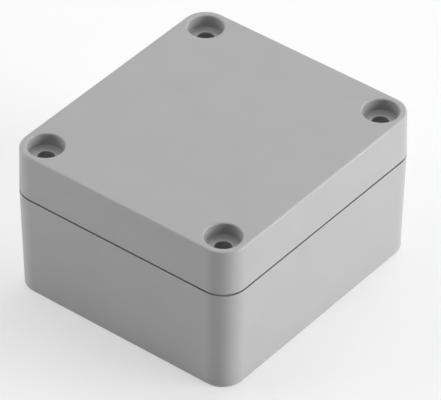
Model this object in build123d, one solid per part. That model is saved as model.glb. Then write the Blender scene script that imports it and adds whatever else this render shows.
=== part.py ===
from build123d import *
import math
import os

# Small gasketed enclosure, moulded in light grey plastic and closed by four screws
# Millimetres. X runs along the shorter side, Y along the longer side, Z up.
# The origin is the middle of the footprint, on the underside.
# Front is the side at negative Y and left the side at negative X.

# Outside of the moulded shells, measured where they meet
width = 58.0
length = 64.0
base_height = 24.8
lid_height = 10.7
corner_radius = 5.6
draft_angle = 1.2
foot_round = 0.4
crown_round = 0.5

# Walls of the base, from the outer face inwards at the rim
outer_land = 1.4
tongue_width = 1.2
inner_land = 0.4
floor_thickness = 2.6
floor_round = 1.2

# Seal, a tongue on the base that stands in the gasket's groove in the lid
tongue_height = 3.0
tongue_chamfer = 0.3
groove_depth = 4.6
groove_clearance = 0.3
gasket_thickness = 2.1
gasket_side_gap = 0.05
gasket_chamfer = 0.35

# Way of the seal round each screw, which stays outside it
seal_to_screw = 4.2
dodge_radius = 8.0
seal_bend = 3.0

# Lid plate, the rib inside its groove, and the screw recesses
plate_thickness = 2.6
lid_rib = 1.0
ceiling_round = 1.0
screw_inset = 5.7
recess_mouth_radius = 4.0
recess_floor_radius = 3.7
recess_depth = 3.0
recess_round = 0.35
recess_floor_chamfer = 0.25
screw_hole_radius = 1.9
hole_chamfer = 0.3

# Threaded brass insert in the top of each corner pillar of the base
insert_length = 6.0
insert_radius = 2.5
insert_neck_radius = 2.2
insert_neck_length = 1.0
insert_lead_length = 0.8
insert_bore_radius = 1.45
insert_chamfer = 0.35
insert_fit = 0.02
screw_runout_radius = 2.1
screw_runout_depth = 13.0

# Blind holes in the underside, one below each pillar
pilot_radius = 1.65
pilot_depth = 8.0
pilot_chamfer = 0.3

# Bosses for a circuit board on the floor
boss_pitch_x = 33.0
boss_pitch_y = 39.0
boss_height = 4.0
boss_top_radius = 2.4
boss_foot_radius = 2.7
boss_bore_radius = 1.1
boss_bore_depth = 4.4

# Upright guides on the two longer walls, each a pair of ribs that takes a board's edge
guide_pitch = 22.0
guide_slot = 1.8
guide_rib_width = 1.0
guide_rib_depth = 1.2
guide_top_gap = 7.0

# Mark of the moulding gate under the floor
gate_radius = 2.2
gate_depth = 0.3

# Worked out from the sizes above
draft_slope = math.tan(math.radians(draft_angle))
seal_inset = outer_land + tongue_width / 2
wall_thickness = outer_land + tongue_width + inner_land
groove_width = tongue_width + 2 * groove_clearance
gasket_width = groove_width - 2 * gasket_side_gap
seam_gap = tongue_height + gasket_thickness - groove_depth
lid_bottom = base_height + seam_gap
screw_x = width / 2 - screw_inset
screw_y = length / 2 - screw_inset
dodge_shift = (dodge_radius - seal_to_screw) / math.sqrt(2)
corners = {
    "front_left": (-1, -1),
    "front_right": (1, -1),
    "back_left": (-1, 1),
    "back_right": (1, 1),
}


def shell_outline():
    """Outer outline of both shells at the parting plane."""
    return RectangleRounded(width, length, corner_radius)


def seal_outline(outside):
    """Outline at one distance outside the middle of the seal; it gives way to the screw at each corner."""
    outline = Rectangle(width - 2 * (seal_inset - outside), length - 2 * (seal_inset - outside))
    for side_x, side_y in corners.values():
        middle = Pos(side_x * (screw_x + dodge_shift), side_y * (screw_y + dodge_shift))
        outline -= middle * Circle(dodge_radius - outside)
    return fillet(outline.vertices(), seal_bend + outside)


def seal_ring(ring_width, height):
    """Upright ring along the seal, standing on the XY plane."""
    return extrude(seal_outline(ring_width / 2) - seal_outline(-ring_width / 2), height)


def rising(outline, height):
    """Drafted block that stands on the XY plane and narrows upwards."""
    return extrude(outline, height, taper=draft_angle)


def sinking(outline, depth):
    """Drafted block that hangs from the XY plane and narrows downwards."""
    return Rot(X=180) * rising(outline, depth)


def edges_at(solid, end):
    """Edges at the solid's lowest (0) or highest (-1) level."""
    return solid.edges().group_by(Axis.Z)[end]


def turned(points):
    """Solid turned about Z from a profile of radius and height."""
    return revolve(Plane.XZ * Polygon(*points, align=None), Axis.Z)


def at_corners(solid, pitch_x, pitch_y):
    """Copies of a solid at the corners of a rectangle."""
    return [Pos(side_x * pitch_x / 2, side_y * pitch_y / 2) * solid for side_x, side_y in corners.values()]


def insert_blank(growth):
    """Outside of the threaded insert, its top at the XY plane, with its radii grown for the pocket."""
    band = insert_radius + growth
    neck = insert_neck_radius + growth
    band_length = (insert_length - insert_neck_length - insert_lead_length) / 2
    lower_band = insert_lead_length - insert_length
    return turned([
        (0, 0),
        (band, 0),
        (band, -band_length),
        (neck, -band_length),
        (neck, lower_band + band_length),
        (band, lower_band + band_length),
        (band, lower_band),
        (neck, -insert_length),
        (0, -insert_length),
    ])


def insert():
    """Brass insert, its top at the XY plane, with a chamfered bore from end to end."""
    mouth = insert_bore_radius + insert_chamfer
    bore = turned([
        (0, 0),
        (mouth, 0),
        (insert_bore_radius, -insert_chamfer),
        (insert_bore_radius, insert_chamfer - insert_length),
        (mouth, -insert_length),
        (0, -insert_length),
    ])
    return insert_blank(0) - bore


def insert_pocket():
    """Space for an insert in a pillar, and below it room for the end of the screw."""
    runout = Cylinder(screw_runout_radius, screw_runout_depth, align=(Align.CENTER, Align.CENTER, Align.MAX))
    return insert_blank(insert_fit) + runout


def pilot_hole():
    """Blind hole that opens downwards at the XY plane."""
    return turned([
        (0, 0),
        (pilot_radius + pilot_chamfer, 0),
        (pilot_radius, pilot_chamfer),
        (pilot_radius, pilot_depth),
        (0, pilot_depth),
    ])


def screw_recess():
    """Drafted recess for a screw head, with its mouth at the XY plane, and the hole through the lid below it."""
    return turned([
        (0, 0),
        (recess_mouth_radius, 0),
        (recess_floor_radius, recess_floor_chamfer - recess_depth),
        (recess_floor_radius - recess_floor_chamfer, -recess_depth),
        (screw_hole_radius, -recess_depth),
        (screw_hole_radius, hole_chamfer - lid_height),
        (screw_hole_radius + hole_chamfer, -lid_height),
        (0, -lid_height),
    ])


def board_boss():
    """Tapered boss for a board screw, standing on the XY plane."""
    bore = Pos(Z=boss_height) * Cylinder(
        boss_bore_radius, boss_bore_depth, align=(Align.CENTER, Align.CENTER, Align.MAX)
    )
    return Cone(boss_foot_radius, boss_top_radius, boss_height, align=(Align.CENTER, Align.CENTER, Align.MIN)) - bore


def board_guide():
    """Pair of ribs on the right-hand wall, with the slot between them on the X axis."""
    top = base_height - guide_top_gap
    face_at_rim = width / 2 - wall_thickness
    face_at_top = face_at_rim - guide_top_gap * draft_slope
    face_at_floor = face_at_rim - (base_height - floor_thickness) * draft_slope
    buried = face_at_rim + inner_land
    side = Plane.XZ * Polygon(
        (buried, floor_thickness),
        (buried, top),
        (face_at_top - guide_rib_depth, top),
        (face_at_floor - guide_rib_depth, floor_thickness),
        align=None,
    )
    rib = extrude(side, guide_rib_width / 2, both=True)
    shift = (guide_slot + guide_rib_width) / 2
    return [Pos(Y=-shift) * rib, Pos(Y=shift) * rib]


def base():
    """Lower shell, with the sealing tongue, the corner pillars and the board fixings."""
    shell = sinking(shell_outline(), base_height)
    shell = fillet(edges_at(shell, 0), foot_round)
    cavity = sinking(seal_outline(-(tongue_width / 2 + inner_land)), base_height - floor_thickness)
    cavity = fillet(edges_at(cavity, 0), floor_round)
    tongue = seal_ring(tongue_width, tongue_height)
    tongue = chamfer(edges_at(tongue, -1), tongue_chamfer)
    body = Pos(Z=base_height) * (shell - cavity + tongue)
    body += at_corners(Pos(Z=floor_thickness) * board_boss(), boss_pitch_x, boss_pitch_y)
    for place_y in (-guide_pitch / 2, guide_pitch / 2):
        right = [Pos(Y=place_y) * rib for rib in board_guide()]
        body += right + [Rot(Z=180) * rib for rib in right]
    body -= at_corners(Pos(Z=base_height) * insert_pocket(), 2 * screw_x, 2 * screw_y)
    body -= at_corners(pilot_hole(), 2 * screw_x, 2 * screw_y)
    body -= Cylinder(gate_radius, gate_depth, align=(Align.CENTER, Align.CENTER, Align.MIN))
    return body


def lid():
    """Upper shell, with the gasket's groove and the four screw recesses outside it."""
    shell = rising(shell_outline(), lid_height)
    shell = fillet(edges_at(shell, -1), crown_round)
    cavity = rising(seal_outline(-(groove_width / 2 + lid_rib)), lid_height - plate_thickness)
    cavity = fillet(edges_at(cavity, -1), ceiling_round)
    body = shell - cavity - seal_ring(groove_width, groove_depth)
    body -= at_corners(Pos(Z=lid_height) * screw_recess(), 2 * screw_x, 2 * screw_y)
    mouths = edges_at(body, -1).filter_by(lambda edge: edge.is_closed)
    return Pos(Z=lid_bottom) * fillet(mouths, recess_round)


def gasket():
    """Elastic cord ring at the bottom of the lid's groove; its lower face bears on the tongue."""
    ring = seal_ring(gasket_width, gasket_thickness)
    ring = chamfer(edges_at(ring, 0), gasket_chamfer)
    return Pos(Z=lid_bottom + groove_depth - gasket_thickness) * ring


parts = {"base": base(), "lid": lid(), "gasket": gasket()}
for corner, (side_x, side_y) in corners.items():
    parts["insert_" + corner] = Pos(side_x * screw_x, side_y * screw_y, base_height) * insert()

os.makedirs("parts", exist_ok=True)
for name, part in parts.items():
    export_step(part, f"parts/{name}.step")
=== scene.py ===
"""Gasketed enclosure: finishes of the moulded shells, the seal, the threaded inserts, and a plain studio."""

import math

import bpy
from bpy.props import FloatProperty, FloatVectorProperty, IntProperty, PointerProperty
from mathutils import Matrix, Vector


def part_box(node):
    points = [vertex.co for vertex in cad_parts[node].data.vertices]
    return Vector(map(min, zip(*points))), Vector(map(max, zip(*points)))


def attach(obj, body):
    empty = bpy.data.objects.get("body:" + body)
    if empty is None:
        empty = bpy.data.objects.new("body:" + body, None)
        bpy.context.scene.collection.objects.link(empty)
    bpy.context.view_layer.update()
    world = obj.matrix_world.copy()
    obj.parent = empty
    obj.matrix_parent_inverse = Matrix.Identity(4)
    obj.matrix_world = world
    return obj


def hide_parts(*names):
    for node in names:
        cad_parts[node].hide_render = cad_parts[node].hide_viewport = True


bl_info = {
    "name": "Gasketed enclosure",
    "version": (1, 0, 0),
    "blender": (4, 5, 0),
    "location": "3D View > Sidebar > Enclosure",
    "description": "Finishes a small gasketed enclosure and sets it in a plain studio",
    "category": "Object",
}

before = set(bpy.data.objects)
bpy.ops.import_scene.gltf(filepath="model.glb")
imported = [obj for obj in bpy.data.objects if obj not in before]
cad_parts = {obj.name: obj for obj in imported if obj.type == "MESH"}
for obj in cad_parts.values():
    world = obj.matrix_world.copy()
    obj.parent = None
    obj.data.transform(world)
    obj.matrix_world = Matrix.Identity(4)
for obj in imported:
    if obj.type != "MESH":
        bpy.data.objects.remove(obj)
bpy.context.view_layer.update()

CORNERS = ("front_left", "front_right", "back_left", "back_right")
SHELLS = ("base", "lid")
LAMPS = ("key", "fill", "back", "top")
WHITE = (1.0, 1.0, 1.0, 1.0)
MM = 0.001


def insert_centre(corner):
    """Middle of an insert's top face, from the frame."""
    low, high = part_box("insert_" + corner)
    return Vector(((low.x + high.x) / 2, (low.y + high.y) / 2, high.z))


# Sizes and colours that a user would change


class ShellFinish(bpy.types.PropertyGroup):
    """Moulded plastic of the lid and the base"""

    colour: FloatVectorProperty(
        name="Colour", description="Light grey of the plastic", subtype="COLOR", size=4,
        min=0.0, max=1.0, default=(0.42, 0.42, 0.42, 1.0),
    )
    roughness: FloatProperty(
        name="Roughness", description="Mean roughness of the satin surface", subtype="FACTOR",
        min=0.0, max=1.0, default=0.46,
    )
    roughness_change: FloatProperty(
        name="Roughness change", description="How far the roughness strays from its mean", subtype="FACTOR",
        min=0.0, max=0.5, default=0.05,
    )
    shade_change: FloatProperty(
        name="Shade change", description="Share by which the grey strays from its mean", subtype="FACTOR",
        min=0.0, max=0.2, default=0.018,
    )
    cloud_size: FloatProperty(
        name="Cloud size", description="Width of the faint flow clouds in the plastic", unit="LENGTH",
        min=0.0001, default=9 * MM,
    )
    grain_size: FloatProperty(
        name="Grain size", description="Width of one grain of the spark-eroded mould face", unit="LENGTH",
        min=0.00001, default=0.22 * MM,
    )
    grain_depth: FloatProperty(
        name="Grain depth", description="Depth of the grain", unit="LENGTH",
        min=0.0, default=0.006 * MM,
    )


class SealSizes(bpy.types.PropertyGroup):
    """Elastic cord in the groove of the lid, and the way that it takes round the screws"""

    cord_width: FloatProperty(
        name="Cord width", description="Width of the cord, across the groove", unit="LENGTH",
        min=0.0005, default=1.7 * MM,
    )
    edge_round: FloatProperty(
        name="Edge round", description="Radius along the cord's edges", unit="LENGTH",
        min=0.0, default=0.35 * MM,
    )
    screw_distance: FloatProperty(
        name="Distance to screw", description="From a screw's axis to the middle of the cord", unit="LENGTH",
        min=0.001, default=4.2 * MM,
    )
    dodge_radius: FloatProperty(
        name="Dodge radius", description="Radius of the cord's middle round a screw", unit="LENGTH",
        min=0.001, default=8.0 * MM,
    )
    bend_radius: FloatProperty(
        name="Bend radius", description="Radius between a straight side and a dodge", unit="LENGTH",
        min=0.001, default=3.0 * MM,
    )
    colour: FloatVectorProperty(
        name="Colour", description="Dark grey of the elastic cord", subtype="COLOR", size=4,
        min=0.0, max=1.0, default=(0.028, 0.028, 0.030, 1.0),
    )


class InsertSizes(bpy.types.PropertyGroup):
    """Threaded brass inserts of the base"""

    thread_pitch: FloatProperty(
        name="Thread pitch", description="Distance from one turn of the thread to the next", unit="LENGTH",
        min=0.0002, default=0.6 * MM,
    )
    thread_core: FloatProperty(
        name="Thread core radius", description="Radius at the crest of the thread", unit="LENGTH",
        min=0.0005, default=1.45 * MM,
    )
    thread_depth: FloatProperty(
        name="Thread depth", description="Depth of the thread, from crest to root", unit="LENGTH",
        min=0.00005, default=0.3 * MM,
    )
    mouth_chamfer: FloatProperty(
        name="Mouth chamfer", description="Chamfer at each end of the bore", unit="LENGTH",
        min=0.0, default=0.35 * MM,
    )
    neck_radius: FloatProperty(
        name="Neck radius", description="Radius of the groove between the knurled bands", unit="LENGTH",
        min=0.001, default=2.2 * MM,
    )
    neck_length: FloatProperty(
        name="Neck length", description="Length of that groove", unit="LENGTH",
        min=0.0001, default=1.0 * MM,
    )
    lead_length: FloatProperty(
        name="Lead length", description="Length of the tapered lower end", unit="LENGTH",
        min=0.0001, default=0.8 * MM,
    )
    knurl_depth: FloatProperty(
        name="Knurl depth", description="Height of the knurl's teeth", unit="LENGTH",
        min=0.00001, default=0.16 * MM,
    )
    knurl_teeth: IntProperty(
        name="Knurl teeth", description="Teeth round each knurled band", min=6, default=28,
    )
    knurl_slant: FloatProperty(
        name="Knurl slant", description="Lean of the teeth, opposite on the two bands", unit="ROTATION",
        default=math.radians(22.0),
    )
    colour: FloatVectorProperty(
        name="Colour", description="Yellow of the turned brass", subtype="COLOR", size=4,
        min=0.0, max=1.0, default=(0.72, 0.50, 0.22, 1.0),
    )


class StudioSettings(bpy.types.PropertyGroup):
    """Floor, lamps and camera"""

    floor_colour: FloatVectorProperty(
        name="Floor colour", description="Near-white that the floor throws back at the object",
        subtype="COLOR", size=4, min=0.0, max=1.0, default=(0.90, 0.90, 0.90, 1.0),
    )
    seen_colour: FloatVectorProperty(
        name="Seen colour", description="Grey of the floor where it is seen, for the depth of the shadows",
        subtype="COLOR", size=4, min=0.0, max=1.0, default=(0.565, 0.565, 0.565, 1.0),
    )
    seen_glow: FloatProperty(
        name="Seen glow", description="Light that the floor adds where it is seen, where 1 is white",
        min=0.0, max=1.0, default=0.452,
    )
    glow_slope: FloatVectorProperty(
        name="Glow slope", description="Change of that glow for each metre along X and Y", size=2,
        default=(-0.15, 0.13),
    )
    sky_strength: FloatProperty(
        name="Sky strength", description="Even light from all round", min=0.0, default=0.033,
    )
    lamp_distance: FloatProperty(
        name="Lamp distance", description="From the object to each lamp", unit="LENGTH", min=0.1, default=0.9,
    )
    lamp_size: FloatProperty(
        name="Lamp size", description="Side of each square lamp but the top one", unit="LENGTH", min=0.01,
        default=0.6,
    )
    key_level: FloatProperty(
        name="Key level", description="Light of the low lamp on the right, where 1 shows a colour as written",
        min=0.0, default=1.4,
    )
    key_azimuth: FloatProperty(
        name="Key azimuth", description="Way to the low lamp on the right, from X towards Y", unit="ROTATION",
        default=math.radians(25.0),
    )
    key_elevation: FloatProperty(
        name="Key elevation", description="Height of the low lamp on the right above the horizon",
        unit="ROTATION", default=math.radians(8.0),
    )
    fill_level: FloatProperty(
        name="Fill level", description="Light of the low lamp on the left", min=0.0, default=0.63,
    )
    fill_azimuth: FloatProperty(
        name="Fill azimuth", description="Way to the low lamp on the left, from X towards Y", unit="ROTATION",
        default=math.radians(215.0),
    )
    fill_elevation: FloatProperty(
        name="Fill elevation", description="Height of the low lamp on the left above the horizon",
        unit="ROTATION", default=math.radians(10.0),
    )
    back_level: FloatProperty(
        name="Back level", description="Light of the high lamp behind", min=0.0, default=0.182,
    )
    back_azimuth: FloatProperty(
        name="Back azimuth", description="Way to the high lamp behind, from X towards Y", unit="ROTATION",
        default=math.radians(90.0),
    )
    back_elevation: FloatProperty(
        name="Back elevation", description="Height of the high lamp behind above the horizon",
        unit="ROTATION", default=math.radians(50.0),
    )
    top_level: FloatProperty(
        name="Top level", description="Light of the large lamp overhead", min=0.0, default=0.665,
    )
    top_size: FloatProperty(
        name="Top size", description="Side of the large square lamp overhead", unit="LENGTH", min=0.01,
        default=1.2,
    )
    top_azimuth: FloatProperty(
        name="Top azimuth", description="Way to the large lamp overhead, from X towards Y", unit="ROTATION",
        default=math.radians(135.0),
    )
    top_elevation: FloatProperty(
        name="Top elevation", description="Height of the large lamp overhead above the horizon",
        unit="ROTATION", default=math.radians(70.0),
    )
    lens: FloatProperty(
        name="Lens", description="Focal length of the camera, in millimetres", min=10.0, default=353.1,
    )
    camera_distance: FloatProperty(
        name="Camera distance", description="From the middle of the footprint to the camera", unit="LENGTH",
        min=0.1, default=0.9169,
    )
    camera_azimuth: FloatProperty(
        name="Camera azimuth", description="Turn of the camera to the right of the front", unit="ROTATION",
        default=math.radians(38.330),
    )
    camera_elevation: FloatProperty(
        name="Camera elevation", description="Height of the camera above the horizon", unit="ROTATION",
        default=math.radians(38.953),
    )
    camera_roll: FloatProperty(
        name="Camera roll", description="Turn of the camera about its own line of sight", unit="ROTATION",
        default=math.radians(0.329),
    )
    camera_right: FloatProperty(
        name="Camera shift right", description="Move of the camera to its own right", unit="LENGTH",
        default=1.45 * MM,
    )
    camera_up: FloatProperty(
        name="Camera shift up", description="Move of the camera to its own up", unit="LENGTH",
        default=13.07 * MM,
    )


# Small helpers for node trees and meshes


def add_node(tree, kind, values=None, **settings):
    """New node with its settings, and its input sockets set by name."""
    node = tree.nodes.new(kind)
    for name, value in settings.items():
        setattr(node, name, value)
    for name, value in (values or {}).items():
        node.inputs[name].default_value = value
    return node


def feed(tree, node, values):
    """Give a node's inputs, in order, each a value or the output of another node."""
    for socket, value in zip(node.inputs, values):
        if isinstance(value, bpy.types.NodeSocket):
            tree.links.new(value, socket)
        else:
            socket.default_value = value


def maths(tree, operation, *values, clamped=False):
    """Result of a sum on numbers, held between 0 and 1 if it is clamped."""
    node = add_node(tree, "ShaderNodeMath", operation=operation, use_clamp=clamped)
    feed(tree, node, values)
    return node.outputs["Value"]


def vector_maths(tree, operation, *values):
    """Result of a sum on vectors, which is a number where the sum is a length or a dot product."""
    node = add_node(tree, "ShaderNodeVectorMath", operation=operation)
    feed(tree, node, values)
    return node.outputs["Value" if operation in ("LENGTH", "DOT_PRODUCT") else "Vector"]


def distance_from_axis(tree, place):
    """Distance of a place from the Z axis."""
    return vector_maths(tree, "LENGTH", vector_maths(tree, "MULTIPLY", place, (1.0, 1.0, 0.0)))


def new_material(name):
    """Empty material, with its tree, its surface shader and its coordinates on the object."""
    material = bpy.data.materials.new(name)
    material.use_nodes = True
    tree = material.node_tree
    tree.nodes.clear()
    output = add_node(tree, "ShaderNodeOutputMaterial")
    shader = add_node(tree, "ShaderNodeBsdfPrincipled")
    place = add_node(tree, "ShaderNodeTexCoord").outputs["Object"]
    tree.links.new(shader.outputs["BSDF"], output.inputs["Surface"])
    return material, tree, shader, place


def noise(tree, place, width, detail=2.0):
    """Noise whose patches have about the given width."""
    node = add_node(tree, "ShaderNodeTexNoise", {"Scale": 1.0 / width, "Detail": detail})
    tree.links.new(place, node.inputs["Vector"])
    return node.outputs["Fac"]


def spread(tree, factor, low, high):
    """Number between two values, from the middle part of a noise."""
    noise_low = 0.3
    noise_high = 0.7
    ends = {"From Min": noise_low, "From Max": noise_high, "To Min": low, "To Max": high}
    node = add_node(tree, "ShaderNodeMapRange", ends)
    tree.links.new(factor, node.inputs["Value"])
    return node.outputs["Result"]


def shaded(colour, share):
    """Colour made lighter or darker by a share."""
    return [channel * (1.0 + share) for channel in colour[:3]] + [1.0]


def two_shades(tree, factor, colour, change):
    """Colour that strays by a share to either side of its mean."""
    node = add_node(tree, "ShaderNodeMix", data_type="RGBA")
    node.inputs["A"].default_value = shaded(colour, -change)
    node.inputs["B"].default_value = shaded(colour, change)
    tree.links.new(spread(tree, factor, 0.0, 1.0), node.inputs["Factor"])
    return node.outputs["Result"]


def roughen(tree, shader, height, depth):
    """Relief of a given depth on the surface."""
    node = add_node(tree, "ShaderNodeBump", {"Strength": 1.0, "Distance": depth})
    tree.links.new(height, node.inputs["Height"])
    tree.links.new(node.outputs["Normal"], shader.inputs["Normal"])


def new_object(name, mesh):
    """Object at the origin that holds a mesh."""
    made = bpy.data.objects.new(name, mesh)
    bpy.context.scene.collection.objects.link(made)
    return made


def new_geometry_tree(name, sizes):
    """Geometry tree with a geometry input and output, and a named input for each size."""
    tree = bpy.data.node_groups.new(name, "GeometryNodeTree")
    tree.interface.new_socket("Geometry", in_out="INPUT", socket_type="NodeSocketGeometry")
    for size, kind in sizes.items():
        tree.interface.new_socket(size, in_out="INPUT", socket_type=kind)
    tree.interface.new_socket("Geometry", in_out="OUTPUT", socket_type="NodeSocketGeometry")
    return tree, add_node(tree, "NodeGroupInput"), add_node(tree, "NodeGroupOutput")


def finish_tree(tree, geometry, output, material):
    """End of a geometry tree: instances made real, and the material set."""
    real = add_node(tree, "GeometryNodeRealizeInstances")
    dressed = add_node(tree, "GeometryNodeSetMaterial", {"Material": material})
    tree.links.new(geometry, real.inputs["Geometry"])
    tree.links.new(real.outputs["Geometry"], dressed.inputs["Geometry"])
    tree.links.new(dressed.outputs["Geometry"], output.inputs["Geometry"])


def grown(name, mesh, tree, sizes, sharp_angle):
    """Plain mesh that a geometry tree makes of a mesh, with the given sizes."""
    carrier = new_object(name + "_carrier", mesh)
    modifier = carrier.modifiers.new(name, "NODES")
    modifier.node_group = tree
    for size, value in sizes.items():
        modifier[tree.interface.items_tree[size].identifier] = value
    evaluated = carrier.evaluated_get(bpy.context.evaluated_depsgraph_get())
    made = bpy.data.meshes.new_from_object(evaluated)
    made.name = name
    bpy.data.objects.remove(carrier)
    made.shade_smooth()
    made.set_sharp_from_angle(angle=sharp_angle)
    return made


# Finishes


def moulded_plastic(finish):
    """Light grey plastic with the fine grain of a spark-eroded mould."""
    material, tree, shader, place = new_material("moulded_plastic")
    clouds = noise(tree, place, finish.cloud_size, detail=3.0)
    grain = noise(tree, place, finish.grain_size)
    tree.links.new(two_shades(tree, clouds, finish.colour, finish.shade_change), shader.inputs["Base Color"])
    low = finish.roughness - finish.roughness_change
    high = finish.roughness + finish.roughness_change
    tree.links.new(spread(tree, grain, low, high), shader.inputs["Roughness"])
    roughen(tree, shader, grain, finish.grain_depth)
    return material


def elastic_cord(sizes):
    """Dark elastic, dull and faintly pitted."""
    pit_width = 0.35 * MM
    pit_depth = 0.012 * MM
    shade_change = 0.25
    smoothest = 0.62
    roughest = 0.8
    material, tree, shader, place = new_material("elastic_cord")
    pits = noise(tree, place, pit_width, detail=4.0)
    tree.links.new(two_shades(tree, pits, sizes.colour, shade_change), shader.inputs["Base Color"])
    tree.links.new(spread(tree, pits, smoothest, roughest), shader.inputs["Roughness"])
    roughen(tree, shader, pits, pit_depth)
    return material


def turned_brass(sizes):
    """Brass with the fine rings that a lathe leaves about each insert's own axis."""
    ring_width = 0.06 * MM
    ring_depth = 0.004 * MM
    stain_width = 1.5 * MM
    shade_change = 0.08
    smoothest = 0.24
    roughest = 0.4
    material, tree, shader, place = new_material("turned_brass")
    shader.inputs["Metallic"].default_value = 1.0
    # The four corners are folded onto one, so that one set of rings serves every insert
    folded = vector_maths(tree, "ABSOLUTE", place)
    centre = insert_centre("back_right")
    from_centre = vector_maths(tree, "SUBTRACT", folded, (centre.x, centre.y, 0.0))
    ring_sizes = {"Scale": 1.0 / ring_width, "Detail": 2.0}
    rings = add_node(tree, "ShaderNodeTexNoise", ring_sizes, noise_dimensions="1D")
    tree.links.new(distance_from_axis(tree, from_centre), rings.inputs["W"])
    stain = noise(tree, place, stain_width)
    tree.links.new(two_shades(tree, stain, sizes.colour, shade_change), shader.inputs["Base Color"])
    tree.links.new(spread(tree, rings.outputs["Fac"], smoothest, roughest), shader.inputs["Roughness"])
    roughen(tree, shader, rings.outputs["Fac"], ring_depth)
    return material


def seen_share(tree):
    """1 where a thing is seen, also in a reflection or through glass, and 0 where light bounces off it."""
    rays = add_node(tree, "ShaderNodeLightPath").outputs
    share = rays["Is Camera Ray"]
    for kind in ("Is Glossy Ray", "Is Transmission Ray"):
        share = maths(tree, "MAXIMUM", share, rays[kind])
    return share


def pale_floor(settings):
    """Near-white floor that keeps the object's shadow, and glows a little only where it is seen."""
    material, tree, shader, place = new_material("pale_floor")
    shader.inputs["Roughness"].default_value = 0.8
    shader.inputs["Specular IOR Level"].default_value = 0.0
    share = seen_share(tree)
    colour = add_node(tree, "ShaderNodeMix", data_type="RGBA")
    colour.inputs["A"].default_value = settings.floor_colour
    colour.inputs["B"].default_value = settings.seen_colour
    tree.links.new(share, colour.inputs["Factor"])
    tree.links.new(colour.outputs["Result"], shader.inputs["Base Color"])
    slope = vector_maths(tree, "DOT_PRODUCT", place, (*settings.glow_slope, 0.0))
    glow = maths(tree, "ADD", slope, settings.seen_glow, clamped=True)
    shader.inputs["Emission Color"].default_value = WHITE
    tree.links.new(maths(tree, "MULTIPLY", glow, share), shader.inputs["Emission Strength"])
    return material


# Seal


def arc(centre, radius, start, end, steps):
    """Points of an arc, its last one left out."""
    points = []
    for step in range(steps):
        angle = start + (end - start) * step / steps
        points.append(Vector((centre.x + radius * math.cos(angle), centre.y + radius * math.sin(angle), 0.0)))
    return points


def seal_corner(sizes, half_x, half_y, screw):
    """Middle of the cord round the screw at the back on the right, from side to side."""
    arc_steps = 18
    shift = (sizes.dodge_radius - sizes.screw_distance) / math.sqrt(2.0)
    dodge = Vector((screw.x + shift, screw.y + shift))
    reach = sizes.dodge_radius + sizes.bend_radius
    first_x = half_x - sizes.bend_radius
    first = Vector((first_x, dodge.y - math.sqrt(reach ** 2 - (dodge.x - first_x) ** 2)))
    second_y = half_y - sizes.bend_radius
    second = Vector((dodge.x - math.sqrt(reach ** 2 - (dodge.y - second_y) ** 2), second_y))
    to_first = math.atan2(dodge.y - first.y, dodge.x - first.x)
    to_second = math.atan2(dodge.y - second.y, dodge.x - second.x)
    points = arc(first, sizes.bend_radius, 0.0, to_first, arc_steps)
    points += arc(dodge, sizes.dodge_radius, to_first + math.pi, to_second + math.pi, arc_steps)
    points += arc(second, sizes.bend_radius, to_second, math.pi / 2, arc_steps)
    points.append(Vector((second.x, half_y, 0.0)))
    return points


def seal_path(sizes):
    """Closed line of the cord's middle, as a mesh of edges."""
    low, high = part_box("gasket")
    half_x = (high.x - low.x - sizes.cord_width) / 2
    half_y = (high.y - low.y - sizes.cord_width) / 2
    level = (low.z + high.z) / 2
    corner = seal_corner(sizes, half_x, half_y, insert_centre("back_right"))
    mirror_x = [Vector((-point.x, point.y, 0.0)) for point in reversed(corner)]
    loop = corner + mirror_x + [-point for point in corner] + [-point for point in mirror_x]
    loop = [point + Vector((0.0, 0.0, level)) for point in loop]
    count = len(loop)
    edges = [(index, (index + 1) % count) for index in range(count)]
    mesh = bpy.data.meshes.new("seal_path")
    mesh.from_pydata(loop, edges, [])
    return mesh


def seal_tree(material):
    """Geometry tree that runs a rounded section along the seal's line."""
    tree, source, output = new_geometry_tree("seal_cord", {
        "Width": "NodeSocketFloat",
        "Height": "NodeSocketFloat",
        "Edge round": "NodeSocketFloat",
    })
    round_steps = 4
    line = add_node(tree, "GeometryNodeMeshToCurve")
    upright = add_node(tree, "GeometryNodeSetCurveNormal", mode="Z_UP")
    section = add_node(tree, "GeometryNodeCurvePrimitiveQuadrilateral")
    rounded = add_node(tree, "GeometryNodeFilletCurve", {"Count": round_steps}, mode="POLY")
    swept = add_node(tree, "GeometryNodeCurveToMesh")
    tree.links.new(source.outputs["Geometry"], line.inputs["Mesh"])
    tree.links.new(line.outputs["Curve"], upright.inputs["Curve"])
    tree.links.new(source.outputs["Width"], section.inputs["Width"])
    tree.links.new(source.outputs["Height"], section.inputs["Height"])
    tree.links.new(section.outputs["Curve"], rounded.inputs["Curve"])
    tree.links.new(source.outputs["Edge round"], rounded.inputs["Radius"])
    tree.links.new(upright.outputs["Curve"], swept.inputs["Curve"])
    tree.links.new(rounded.outputs["Curve"], swept.inputs["Profile Curve"])
    finish_tree(tree, swept.outputs["Mesh"], output, material)
    return tree


# Inserts


def even_steps(start, end, count):
    """Even steps from one value to another, both ends included."""
    return [start + (end - start) * step / (count - 1) for step in range(count)]


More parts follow.
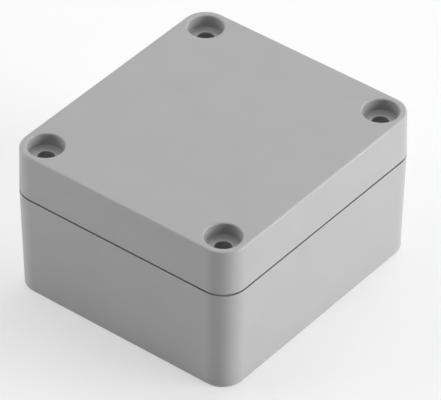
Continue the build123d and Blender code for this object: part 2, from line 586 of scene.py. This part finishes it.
def turned_insert(sizes, radius, length):
    """Turned body of an insert about the Z axis, its top at the origin, without knurl and thread.

    Its columns are half a step off, so that none of them lies on the edge of a tooth.
    """
    columns_for_tooth = 4
    half_step = 0.5
    band_levels = 5
    end_chamfer = 0.08 * MM
    columns = columns_for_tooth * sizes.knurl_teeth
    band = radius - sizes.knurl_depth
    root = sizes.thread_core + sizes.thread_depth
    band_length = (length - sizes.neck_length - sizes.lead_length) / 2
    upper_ends = (-end_chamfer, -band_length)
    lower_ends = (-band_length - sizes.neck_length, sizes.lead_length - length)
    profile = [(root, -sizes.mouth_chamfer), (root + sizes.mouth_chamfer, 0.0), (band - end_chamfer, 0.0)]
    profile += [(band, level) for level in even_steps(*upper_ends, band_levels)]
    profile += [(sizes.neck_radius, upper_ends[1]), (sizes.neck_radius, lower_ends[0])]
    profile += [(band, level) for level in even_steps(*lower_ends, band_levels)]
    profile += [(sizes.neck_radius, -length), (root + sizes.mouth_chamfer, -length)]
    profile += [(root, sizes.mouth_chamfer - length)]
    rows = len(profile)
    points = []
    faces = []
    for column in range(columns):
        angle = 2 * math.pi * (column + half_step) / columns
        points += [(out * math.cos(angle), out * math.sin(angle), level) for out, level in profile]
        here = column * rows
        there = (column + 1) % columns * rows
        for row in range(rows):
            below = (row + 1) % rows
            faces.append((here + row, here + below, there + below, there + row))
    mesh = bpy.data.meshes.new("turned_insert")
    mesh.from_pydata(points, [], faces)
    return mesh


def knurled(tree, body, sizes):
    """Body with the teeth of both bands raised on it, and leaning opposite ways from the neck."""
    hair = 0.001 * MM
    tooth_share = 0.5
    place = add_node(tree, "GeometryNodeInputPosition").outputs["Position"]
    parts = add_node(tree, "ShaderNodeSeparateXYZ")
    tree.links.new(place, parts.inputs["Vector"])
    distance = distance_from_axis(tree, place)
    on_band = maths(tree, "GREATER_THAN", distance, maths(tree, "SUBTRACT", sizes["Band radius"], hair))
    angle = maths(tree, "ARCTAN2", parts.outputs["Y"], parts.outputs["X"])
    turns = maths(tree, "MULTIPLY", angle, 1 / (2 * math.pi))
    place_in_tooth = maths(tree, "FRACT", maths(tree, "MULTIPLY", turns, sizes["Knurl teeth"]))
    on_tooth = maths(tree, "LESS_THAN", place_in_tooth, tooth_share)
    rise = maths(tree, "MULTIPLY", maths(tree, "MULTIPLY", on_band, on_tooth), sizes["Knurl depth"])
    growth = maths(tree, "ADD", maths(tree, "DIVIDE", rise, distance), 1.0)
    scale = add_node(tree, "ShaderNodeCombineXYZ", {"Z": 1.0})
    tree.links.new(growth, scale.inputs["X"])
    tree.links.new(growth, scale.inputs["Y"])
    raised = vector_maths(tree, "MULTIPLY", place, scale.outputs["Vector"])
    from_neck = maths(tree, "ABSOLUTE", maths(tree, "SUBTRACT", parts.outputs["Z"], sizes["Neck level"]))
    lean = maths(tree, "DIVIDE", maths(tree, "TANGENT", sizes["Knurl slant"]), sizes["Band radius"])
    twisted = add_node(tree, "ShaderNodeVectorRotate", rotation_type="Z_AXIS")
    tree.links.new(raised, twisted.inputs["Vector"])
    tree.links.new(maths(tree, "MULTIPLY", from_neck, lean), twisted.inputs["Angle"])
    shaped = add_node(tree, "GeometryNodeSetPosition")
    tree.links.new(body, shaped.inputs["Geometry"])
    tree.links.new(twisted.outputs["Vector"], shaped.inputs["Position"])
    return shaped.outputs["Geometry"]


def threaded(tree, sizes):
    """Thread that winds down the bore and runs out into its wall at both ends."""
    points_in_turn = 32
    section_corners = 3
    section_share = 0.5
    runout_rate = 1.5
    least_scale = 0.02
    helix = add_node(tree, "GeometryNodeCurveSpiral", {"Resolution": points_in_turn})
    tree.links.new(sizes["Thread turns"], helix.inputs["Rotations"])
    tree.links.new(sizes["Thread root"], helix.inputs["Start Radius"])
    tree.links.new(sizes["Thread root"], helix.inputs["End Radius"])
    height = maths(tree, "MULTIPLY", sizes["Thread pitch"], sizes["Thread turns"])
    tree.links.new(height, helix.inputs["Height"])
    upright = add_node(tree, "GeometryNodeSetCurveNormal", mode="Z_UP")
    tree.links.new(helix.outputs["Curve"], upright.inputs["Curve"])
    along = add_node(tree, "GeometryNodeSplineParameter").outputs["Factor"]
    to_end = maths(tree, "MINIMUM", along, maths(tree, "SUBTRACT", 1.0, along))
    turns_to_end = maths(tree, "MULTIPLY", to_end, sizes["Thread turns"])
    runout = maths(tree, "MINIMUM", maths(tree, "MULTIPLY", turns_to_end, runout_rate), 1.0)
    section = add_node(tree, "GeometryNodeCurvePrimitiveCircle", {"Resolution": section_corners})
    tree.links.new(maths(tree, "MULTIPLY", sizes["Thread pitch"], section_share), section.inputs["Radius"])
    thread = add_node(tree, "GeometryNodeCurveToMesh", {"Fill Caps": True})
    tree.links.new(upright.outputs["Curve"], thread.inputs["Curve"])
    tree.links.new(section.outputs["Curve"], thread.inputs["Profile Curve"])
    tree.links.new(maths(tree, "MAXIMUM", runout, least_scale), thread.inputs["Scale"])
    start = add_node(tree, "ShaderNodeCombineXYZ")
    tree.links.new(sizes["Thread start"], start.inputs["Z"])
    seated = add_node(tree, "GeometryNodeTransform")
    tree.links.new(thread.outputs["Mesh"], seated.inputs["Geometry"])
    tree.links.new(start.outputs["Vector"], seated.inputs["Translation"])
    return seated.outputs["Geometry"]


def insert_tree(material):
    """Geometry tree that adds the thread and both knurled bands to a turned insert."""
    tree, source, output = new_geometry_tree("threaded_insert", {
        "Thread pitch": "NodeSocketFloat",
        "Thread turns": "NodeSocketFloat",
        "Thread root": "NodeSocketFloat",
        "Thread start": "NodeSocketFloat",
        "Knurl teeth": "NodeSocketInt",
        "Knurl depth": "NodeSocketFloat",
        "Knurl slant": "NodeSocketFloat",
        "Band radius": "NodeSocketFloat",
        "Neck level": "NodeSocketFloat",
    })
    joined = add_node(tree, "GeometryNodeJoinGeometry")
    sizes = source.outputs
    tree.links.new(knurled(tree, sizes["Geometry"], sizes), joined.inputs["Geometry"])
    tree.links.new(threaded(tree, sizes), joined.inputs["Geometry"])
    finish_tree(tree, joined.outputs["Geometry"], output, material)
    return tree


# Operators, one for each group of pieces and one for the studio


class ENCLOSURE_OT_finish_shells(bpy.types.Operator):
    """Give the lid and the base their moulded finish"""

    bl_idname = "enclosure.finish_shells"
    bl_label = "Finish the shells"

    def execute(self, context):
        plastic = moulded_plastic(context.scene.enclosure_shells)
        for name in SHELLS:
            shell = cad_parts[name]
            shell.data.materials.clear()
            shell.data.materials.append(plastic)
        return {"FINISHED"}


class ENCLOSURE_OT_lay_seal(bpy.types.Operator):
    """Lay the elastic cord in the groove of the lid"""

    bl_idname = "enclosure.lay_seal"
    bl_label = "Lay the seal"

    def execute(self, context):
        sizes = context.scene.enclosure_seal
        low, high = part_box("gasket")
        mesh = grown("seal_cord", seal_path(sizes), seal_tree(elastic_cord(sizes)), {
            "Width": sizes.cord_width,
            "Height": high.z - low.z,
            "Edge round": sizes.edge_round,
        }, sharp_angle=math.radians(40.0))
        cord = new_object("seal_cord", mesh)
        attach(cord, "lid")
        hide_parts("gasket")
        return {"FINISHED"}


class ENCLOSURE_OT_fit_inserts(bpy.types.Operator):
    """Fit the threaded brass inserts in the pillars of the base"""

    bl_idname = "enclosure.fit_inserts"
    bl_label = "Fit the inserts"

    def execute(self, context):
        sizes = context.scene.enclosure_inserts
        low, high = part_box("insert_back_right")
        radius = (high.x - low.x) / 2
        length = high.z - low.z
        threaded_length = length - 2 * sizes.mouth_chamfer
        body = turned_insert(sizes, radius, length)
        mesh = grown("threaded_insert", body, insert_tree(turned_brass(sizes)), {
            "Thread pitch": sizes.thread_pitch,
            "Thread turns": threaded_length / sizes.thread_pitch,
            "Thread root": sizes.thread_core + sizes.thread_depth,
            "Thread start": sizes.mouth_chamfer - length,
            "Knurl teeth": sizes.knurl_teeth,
            "Knurl depth": sizes.knurl_depth,
            "Knurl slant": sizes.knurl_slant,
            "Band radius": radius - sizes.knurl_depth,
            "Neck level": (sizes.lead_length - length) / 2,
        }, sharp_angle=math.radians(35.0))
        for corner in CORNERS:
            placed = mesh.copy()
            placed.transform(Matrix.Translation(insert_centre(corner)))
            insert = new_object("threaded_insert_" + corner, placed)
            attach(insert, "base")
            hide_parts("insert_" + corner)
        return {"FINISHED"}


class ENCLOSURE_OT_set_studio(bpy.types.Operator):
    """Set the floor, the lamps and the camera"""

    bl_idname = "enclosure.set_studio"
    bl_label = "Set the studio"

    def execute(self, context):
        settings = context.scene.enclosure_studio
        self.lay_floor(settings)
        self.light_sky(context.scene, settings)
        for name in LAMPS:
            level = getattr(settings, name + "_level")
            azimuth = getattr(settings, name + "_azimuth")
            elevation = getattr(settings, name + "_elevation")
            size = settings.top_size if name == "top" else settings.lamp_size
            self.hang_lamp(name + "_lamp", level, size, settings.lamp_distance, azimuth, elevation)
        self.set_camera(context.scene, settings)
        context.scene.view_settings.view_transform = "Standard"
        return {"FINISHED"}

    def lay_floor(self, settings):
        """Flat floor a hair below the object, so that the two never share a plane."""
        half_side = 3.0
        level = -0.01 * MM
        mesh = bpy.data.meshes.new("floor")
        corners = [(x * half_side, y * half_side, level) for x, y in ((-1, -1), (1, -1), (1, 1), (-1, 1))]
        mesh.from_pydata(corners, [], [(0, 1, 2, 3)])
        mesh.materials.append(pale_floor(settings))
        new_object("floor", mesh)

    def light_sky(self, scene, settings):
        """Even light from all round, white where it is seen."""
        world = bpy.data.worlds.new("sky")
        world.use_nodes = True
        tree = world.node_tree
        tree.nodes.clear()
        output = add_node(tree, "ShaderNodeOutputWorld")
        background = add_node(tree, "ShaderNodeBackground", {"Color": WHITE})
        strength = add_node(tree, "ShaderNodeMapRange", {"To Min": settings.sky_strength, "To Max": 1.0})
        tree.links.new(seen_share(tree), strength.inputs["Value"])
        tree.links.new(strength.outputs["Result"], background.inputs["Strength"])
        tree.links.new(background.outputs["Background"], output.inputs["Surface"])
        scene.world = world

    def hang_lamp(self, name, level, size, distance, azimuth, elevation):
        """Square lamp that faces the object; a level of 1 shows a colour that faces it as written."""
        lamp = bpy.data.lights.new(name, "AREA")
        lamp.shape = "SQUARE"
        lamp.size = size
        lamp.energy = level * (math.pi * distance) ** 2
        away = Vector((math.cos(azimuth), math.sin(azimuth), 0.0)) * math.cos(elevation)
        away.z = math.sin(elevation)
        hung = bpy.data.objects.new(name, lamp)
        hung.location = away * distance
        hung.rotation_mode = "QUATERNION"
        hung.rotation_quaternion = away.to_track_quat("Z", "Y")
        bpy.context.scene.collection.objects.link(hung)

    def set_camera(self, scene, settings):
        """Long lens at the photograph's angle."""
        nearest_share = 0.01
        level = math.cos(settings.camera_elevation)
        back = Vector((
            math.sin(settings.camera_azimuth) * level,
            -math.cos(settings.camera_azimuth) * level,
            math.sin(settings.camera_elevation),
        ))
        flat_right = Vector((math.cos(settings.camera_azimuth), math.sin(settings.camera_azimuth), 0.0))
        flat_up = back.cross(flat_right)
        right = flat_right * math.cos(settings.camera_roll) + flat_up * math.sin(settings.camera_roll)
        up = flat_up * math.cos(settings.camera_roll) - flat_right * math.sin(settings.camera_roll)
        place = back * settings.camera_distance + right * settings.camera_right + up * settings.camera_up
        lens = bpy.data.cameras.new("camera")
        lens.lens = settings.lens
        lens.clip_start = settings.camera_distance * nearest_share
        camera = bpy.data.objects.new("camera", lens)
        camera.matrix_world = Matrix.Translation(place) @ Matrix((right, up, back)).transposed().to_4x4()
        scene.collection.objects.link(camera)
        scene.camera = camera


# Sidebar and registration


SETTINGS = {
    "enclosure_shells": ShellFinish,
    "enclosure_seal": SealSizes,
    "enclosure_inserts": InsertSizes,
    "enclosure_studio": StudioSettings,
}
STEPS = (
    ENCLOSURE_OT_set_studio,
    ENCLOSURE_OT_finish_shells,
    ENCLOSURE_OT_lay_seal,
    ENCLOSURE_OT_fit_inserts,
)


class ENCLOSURE_PT_sidebar(bpy.types.Panel):
    """Steps and sizes of the enclosure"""

    bl_idname = "ENCLOSURE_PT_sidebar"
    bl_label = "Gasketed enclosure"
    bl_space_type = "VIEW_3D"
    bl_region_type = "UI"
    bl_category = "Enclosure"

    def draw(self, context):
        for step in STEPS:
            self.layout.operator(step.bl_idname)
        for name, group in SETTINGS.items():
            box = self.layout.box()
            for setting in group.__annotations__:
                box.prop(getattr(context.scene, name), setting)


def register():
    for part in (*SETTINGS.values(), *STEPS, ENCLOSURE_PT_sidebar):
        bpy.utils.register_class(part)
    for name, group in SETTINGS.items():
        setattr(bpy.types.Scene, name, PointerProperty(type=group))


def unregister():
    for name in SETTINGS:
        delattr(bpy.types.Scene, name)
    for part in reversed((*SETTINGS.values(), *STEPS, ENCLOSURE_PT_sidebar)):
        bpy.utils.unregister_class(part)


def main():
    register()
    bpy.ops.enclosure.set_studio()
    bpy.ops.enclosure.finish_shells()
    bpy.ops.enclosure.lay_seal()
    bpy.ops.enclosure.fit_inserts()


if __name__ == "__main__":
    main()
